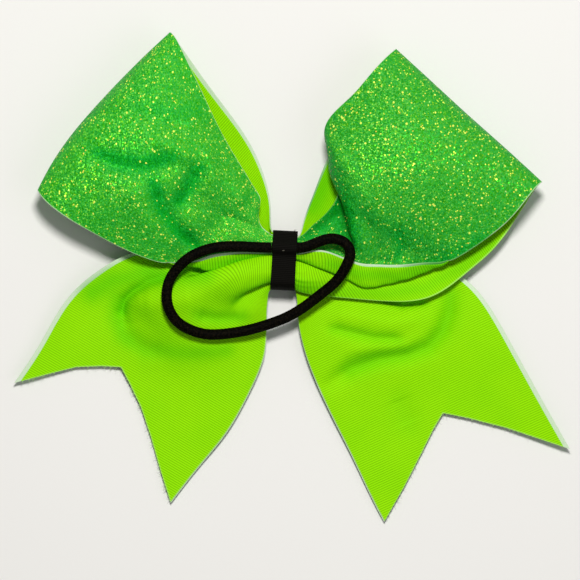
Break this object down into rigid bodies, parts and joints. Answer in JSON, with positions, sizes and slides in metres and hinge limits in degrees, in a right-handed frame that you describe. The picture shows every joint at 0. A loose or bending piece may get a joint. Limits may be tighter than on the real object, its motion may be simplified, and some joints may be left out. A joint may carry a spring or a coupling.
{
  "type": "cheer hair bow",
  "caption": "Neon green cheer hair bow seen from its back: two glittered ribbon loops and two swallowtail tails gathered under a black band that holds a round black hair elastic.",
  "frame": {"origin": "middle of the bow's outline at the plane it lies on, face down", "axes": "+X from the left loop to the right loop, +Y from the tails to the loops, +Z out of the bow's back, towards the hair"},
  "size_m": [0.212, 0.1866, 0.0287],
  "materials": {
    "ribbon_grosgrain": "matte ribbed grosgrain",
    "glitter_overlay": "holographic glitter",
    "band_grosgrain": "matte ribbed grosgrain",
    "elastic_cord": "matte braided",
    "tie_plastic": "satin",
    "hot_glue": "glossy"
  },
  "bodies": {
    "knot": {"centre_band": "band_grosgrain", "band_lap": "band_grosgrain", "cinch_tie": "tie_plastic", "tie_head": "tie_plastic", "glue_bed": "hot_glue", "front_glue": "hot_glue", "gather_pass_front": "ribbon_grosgrain", "gather_pass_middle": "ribbon_grosgrain", "gather_pass_back": "ribbon_grosgrain", "elastic_held_run": "elastic_cord"},
    "left_wing": {"left_loop_front_ribbon": "ribbon_grosgrain", "left_loop_front_glitter": "glitter_overlay", "left_loop_back_ribbon": "ribbon_grosgrain", "left_loop_back_glitter": "glitter_overlay", "left_tail_root_ribbon": "ribbon_grosgrain", "left_tail_root_glitter": "glitter_overlay"},
    "right_wing": {"right_loop_front_ribbon": "ribbon_grosgrain", "right_loop_front_glitter": "glitter_overlay", "right_loop_back_ribbon": "ribbon_grosgrain", "right_loop_back_glitter": "glitter_overlay", "right_tail_root_ribbon": "ribbon_grosgrain", "right_tail_root_glitter": "glitter_overlay"},
    "left_tail": {"left_tail_end_ribbon": "ribbon_grosgrain", "left_tail_end_glitter": "glitter_overlay"},
    "right_tail": {"right_tail_end_ribbon": "ribbon_grosgrain", "right_tail_end_glitter": "glitter_overlay"},
    "elastic": {"hair_elastic": "elastic_cord"}
  },
  "joints": [
    {"name": "elastic_swing", "type": "hinge", "parent": "knot", "child": "elastic", "pos_m": [-0.00305, 0.01143, 0.015], "axis": [-1, 0, 0], "range_deg": [0, 95]},
    {"name": "left_wing_flex", "type": "hinge", "parent": "knot", "child": "left_wing", "pos_m": [-0.00953, 0.00667, 0.0075], "axis": [0, -1, 0], "range_deg": [0, 25], "stiffness_Nm_per_rad": 0.15},
    {"name": "right_wing_flex", "type": "hinge", "parent": "knot", "child": "right_wing", "pos_m": [0.00343, 0.00667, 0.0075], "axis": [0, 1, 0], "range_deg": [0, 25], "stiffness_Nm_per_rad": 0.15},
    {"name": "left_tail_flex", "type": "hinge", "parent": "left_wing", "child": "left_tail", "pos_m": [-0.04515, -0.0217, 0.0049], "axis": [0.742, -0.6704, 0], "range_deg": [-20, 20], "stiffness_Nm_per_rad": 0.03},
    {"name": "right_tail_flex", "type": "hinge", "parent": "right_wing", "child": "right_tail", "pos_m": [0.04667, -0.0356, 0.0038], "axis": [0.7615, 0.6482, 0], "range_deg": [-20, 20], "stiffness_Nm_per_rad": 0.03}
  ]
}
